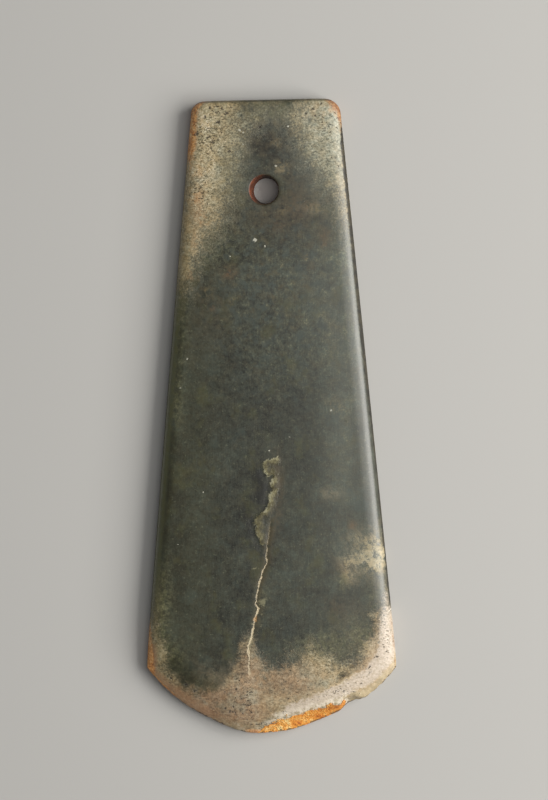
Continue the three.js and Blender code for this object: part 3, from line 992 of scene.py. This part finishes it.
def stainAndShadeLayer(f, tone):
    toRight = ramp(f.x, -6, 6)
    tan = ragged(f.where, f.tan, 0.9, 0.8, 0.45)
    tanRight = ramp(total((f.mottle, 1.0, 0), (f.small, 0.5)), 0.4, 0.62)
    tanRight = blend(tanRight, stainsShadeAndLight["tanDeep"], stainsShadeAndLight["tanRight"])
    tanTone = blend(toRight, stainsShadeAndLight["tanLeft"], tanRight)
    tone = blend(times(tan, 0.6), tone, tanTone)
    iron = ragged(f.where, f.iron, 1.3, 1.1, 0.4)
    ironTone = calc("ADD", total((f.small, 2.0), (f.fine, 1.8)), 0.52)
    # painted light and shade: the rust is brighter on the left and darker on the right
    ironLeftPaintedLight = toneRamp(ironTone, stainsShadeAndLight["ironLeftPaintedLight"])
    ironRightPaintedShade = toneRamp(ironTone, stainsShadeAndLight["ironRightPaintedShade"])
    tone = blend(times(iron, 0.9), tone, blend(toRight, ironLeftPaintedLight, ironRightPaintedShade))

    # soft ochre, russet and apricot mottles
    for name in ("ochre", "russet", "apricot"):
        patchy = times(getattr(f, name), ramp(f.mottle, 0.44, 0.6, 0.0, 1))
        patchy = calc("MULTIPLY", patchy, 0.6, True)
        tone = blend(patchy, tone, stainsShadeAndLight[name])

    # painted shade on the unpolished wall of the right side: it is painted dark and mottled where it turns
    # away from the lights
    wall = roughened(f, f.rightWall, small=1.0, mottle=1.0)
    wallTone = blend(ramp(f.mottle, 0.4, 0.6), stainsShadeAndLight["wallShadeDark"], stainsShadeAndLight["wallShadeLight"])
    return blend(ramp(wall, 0.2, -0.2, 0, 0.95), tone, wallTone)


def pitLayer(f, tone, rind):
    share = calc("SUBTRACT", calc("ADD", f.pits, rind), 0.95)
    wide = feed("Mapping", {"Vector": f.where, "Scale": (0.7, 1.35, 1.0)}).outputs[0]
    more = calc("ADD", share, 0.2)
    scattered = calc("MAXIMUM", flecks(wide, 0.85, share), flecks(wide, 1.3, more))
    large = spotField(f.flat, largePits, total((f.fine, 2.6), (f.small, 2.4)))
    pits = calc("MAXIMUM", times(scattered, 0.85), ramp(large, 0.0, 0.45, 0, 0.86))
    tone = blend(pits, tone, rindStone["pit"])
    white = spotField(f.flat, whiteFlecks, total((f.fine, 1.4)))
    return blend(ramp(white, 0, 0.3, 0, 0.8), tone, coreStone["whiteFleck"]), pits


def fissureLayer(f, tone):
    crackSide = roughened(f, f.crackSide, wiggle=2.0, fine=0.8)
    crackFar = calc("ABSOLUTE", crackSide)
    along = f.crackAlong

    # a brown halo to the right of the crack
    halo = times(
        ramp(crackFar, 2.8, 0.2), ramp(crackSide, -2.2, 0.3, 0.2, 1), ramp(along, 0.7, 0.5, 0, 0.8),
        ramp(f.small, 0.35, 0.55, 0.3, 1),
    )
    tone = blend(halo, tone, fissure["halo"])

    # the infill fades to the right of its crisp, light left side
    edge = roughened(f, f.infill, small=2.4, fine=1.4)
    fromCourse = roughened(f, f.fromInfillCourse, small=3.0)
    infill = times(ramp(edge, -0.2, 0.7), ramp(fromCourse, 3.8, 0.6))
    infillTone = total((f.mottle, 2.6), (f.fine, 0.7), (fromCourse, -0.16, 1.0))
    infillColour = toneRamp(calc("ADD", infillTone, 0.5), fissure["infillRamp"])
    tone = blend(times(infill, 0.95), tone, infillColour)
    rimLine = times(
        ramp(edge, -0.2, 0.1), ramp(fromCourse, 0.9, 0.1), ramp(f.mottle, 0.44, 0.6, 0, 0.7)
    )
    tone = blend(rimLine, tone, fissure["rim"])

    splay = roughened(f, f.splay, fine=2.2, small=1.4)
    tone = blend(ramp(splay, 0.45, 0.85, 0, 0.6), tone, fissure["splay"])
    width = times(ramp(f.mottle, 0.35, 0.6, 0.2, 0.42), ramp(along, 0, 0.4, 0.4, 1))
    line = times(
        ramp(calc("SUBTRACT", crackFar, width), 0.08, -0.16), ramp(along, 0.86, 0.7),
        ramp(along, 0, 0.3, 0.2, 1), ramp(f.small, 0.35, 0.55, 0.5, 0.95),
    )
    tone = blend(line, tone, fissure["line"])
    rust = spotField(f.flat, fissure["rustSpots"], total((f.fine, 1.5)))
    tone = blend(ramp(rust, 0, 0.4, 0, 0.6), tone, fissure["rust"])
    sideLine = roughened(f, f.fromSideCrack, small=0.9)
    tone = blend(ramp(sideLine, 0.3, 0.05, 0, 0.85), tone, fissure["sideLine"])
    return tone, line, infill


def scarLayer(f, tone):
    edge = roughened(f, f.scar, wiggle=4.5, small=2.0, fine=1.0)
    scar = ramp(edge, 0.5, 1.0)
    scarTone = calc("ADD", total((f.small, 1.5), (f.fine, 0.7), (f.mottle, 1.9)), 0.5)
    scarTone = calc("ADD", scarTone, ramp(f.x, 18, 4, -0.08, 0.14))
    grained = ramp(f.small, 0.38, 0.58, 0.1, 0.75)
    rim = times(ramp(edge, -2.6, 0), grained, ramp(f.x, -4, 4, 0.3, 1))
    tone = blend(rim, tone, scarStone["rim"])
    return blend(scar, tone, toneRamp(scarTone, scarStone["ramp"])), scar


def rimLayer(f, tone):
    # thin dark lines along the nicked cutting edge and the mouth of the hole, and painted shade along the
    # butt, where its facet turns from the light
    edgeLine = roughened(f, f.fromEdge, small=-3.0, fine=-1.8)
    tone = blend(ramp(edgeLine, 0.34, 0.1, 0, 0.8), tone, stainsShadeAndLight["edgeLine"])
    # painted shade: a dark line along the butt
    tone = blend(ramp(f.fromButt, 1.1, 0.5, 0, 0.6), tone, coreStone["side"])
    mouth = roughened(f, distanceFrom(f.flat, hole["x"], hole["y"]), small=-1.2)
    reach = hole["upperRadius"] + hole["flare"]
    return blend(ramp(mouth, reach + 0.6, reach + 0.1, 0, 0.7), tone, coreStone["side"])


def newMaterial(name):
    material = bpy.data.materials.new(name)
    material.use_nodes = True
    return material, material.node_tree, material.node_tree.nodes["Principled BSDF"].inputs


def makeStone():
    material, tree, given = newMaterial("polishedJade")
    f = stoneFields(tree)
    tone, rind = rindLayer(f, coreLayer(f))
    tone = stainAndShadeLayer(f, tone)
    tone, pits = pitLayer(f, tone, rind)
    tone, line, infill = fissureLayer(f, tone)
    tone, scar = scarLayer(f, tone)
    tree.links.new(rimLayer(f, tone), given["Base Color"])

    wall = ramp(f.fromSide, 0.7, 0.2)
    rough = total((rind, 0.12, 0), (scar, 0.3, 0), (pits, 0.2, 0), (wall, 0.55, 0), (f.small, 0.15))
    tree.links.new(calc("ADD", rough, polish["roughness"], True), given["Roughness"])
    given["IOR"].default_value = polish["indexOfRefraction"]
    height = total(
        (times(f.fine, rind), 0.1, 0), (pits, -0.2, 0), (f.streaks, 0.012),
        (times(f.fine, scar), 0.6, 0), (line, -0.08, 0), (infill, 0.1, 0),
    )
    bump = feed("Bump", {"Height": height, "Strength": 1.0, "Distance": mm})
    tree.links.new(bump.outputs[0], given["Normal"])
    return material


wallTones = {
    "rust": colour(92, 44, 24),
    # the dark tone of the rings and grains, also used as painted shade on the wall
    "dark": colour(52, 44, 28),
    "ochre": colour(124, 66, 36),
    "roughness": 0.55,
}


def makeDrilledWall(tones):
    material, tree, given = newMaterial("drilledWall")
    where = inMillimetres(tree)
    rings = noiseField(where, 1.3, 3.0, 0.6, stretch=(0.3, 0.3, 2.6))
    blotch = noiseField(where, 0.5, 4.0, 0.6)
    tone = blend(ramp(blotch, 0.4, 0.65), tones["rust"], tones["ochre"])
    tone = blend(ramp(rings, 0.5, 0.35, 0, 0.7), tone, tones["dark"])
    grains = flecks(where, 1.2, 0.8)
    tone = blend(times(grains, 0.5), tone, tones["dark"])

    # painted shade: the wall is painted dark away from its left side, which faces the lights, so its rust
    # shows on the left only
    axes = feed("SeparateXYZ", {"Vector": where}).outputs
    toButt = times(calc("SUBTRACT", axes["Y"], hole["y"]), -0.25)
    fromLeft = calc("ADD", axes["X"], toButt)
    fromLeft = calc("ADD", fromLeft, total((blotch, 4.0)))
    tone = blend(ramp(fromLeft, -3.2, -0.4, 0, 0.9), tone, tones["dark"])
    tree.links.new(tone, given["Base Color"])
    given["Roughness"].default_value = tones["roughness"]
    bump = feed("Bump", {"Height": times(rings, 0.12), "Distance": mm})
    tree.links.new(bump.outputs[0], given["Normal"])
    return material


# put the blade together
stone = makeStone()
drilledWall = makeDrilledWall(wallTones)
axeHead = linked("axeHead", makeBladeMesh())
axeHead.data.materials.append(stone)
drill = linked("drill", makeDrill())
drill.data.materials.append(drilledWall)
drillBlade(axeHead, drill)
paintMasks(axeHead.data)
for polygon in axeHead.data.polygons:
    polygon.use_smooth = True
axeHead.data.set_sharp_from_angle(angle=math.radians(blade["sharpAngle"]))
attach(axeHead, "root")
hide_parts("axe_head")
triangles = sum(len(p.vertices) - 2 for p in axeHead.data.polygons)
print("axe head made:", triangles, "triangles")


studio = {
    "floorSize": 60.0,
    "floorDrop": 0.00002,  # keeps the floor clear of the underside
    "floorRoughness": 0.9,
    "floor": colour(188, 187, 184),
    "world": colour(150, 152, 155),
    "worldStrength": 0.35,
    "lightDistance": 1.4,
    "lowSoftbox": (57, (1.43, 0.9), 31, (1.0, 0.975, 0.935)),  # degrees down, size, power, tint
    "highSoftbox": (20, (0.48, 0.9), 4.6, (1.0, 0.98, 0.94)),
}


def makeFloor(setup):
    bm = bmesh.new()
    bmesh.ops.create_grid(bm, x_segments=1, y_segments=1, size=setup["floorSize"] / 2)
    mesh = asMesh(bm, "floor")
    material, _, given = newMaterial("paleFloor")
    given["Base Color"].default_value = setup["floor"]
    given["Roughness"].default_value = setup["floorRoughness"]
    mesh.materials.append(material)
    floor = linked("floor", mesh)
    floor.location.z = -setup["floorDrop"]


def makeLight(name, setup):
    # a softbox to the right of the blade, aimed at its middle
    degrees, size, power, tint = setup[name]
    turned, distance = math.radians(degrees), setup["lightDistance"]
    place = Vector((distance * math.sin(turned), 0, distance * math.cos(turned)))
    data = bpy.data.lights.new(name, "AREA")
    data.shape = "RECTANGLE"
    data.size, data.size_y = size
    data.energy = power
    data.color = tint
    light = linked(name, data)
    light.location = place
    light.rotation_mode = "QUATERNION"
    light.rotation_quaternion = (-place).to_track_quat("-Z", "Y")


makeFloor(studio)
makeLight("lowSoftbox", studio)
makeLight("highSoftbox", studio)
world = bpy.data.worlds.new("studio")
world.use_nodes = True
background = world.node_tree.nodes["Background"].inputs
background["Color"].default_value = studio["world"]
background["Strength"].default_value = studio["worldStrength"]
bpy.context.scene.world = world
bpy.context.scene.view_settings.view_transform = "Standard"
print("floor and lights placed")
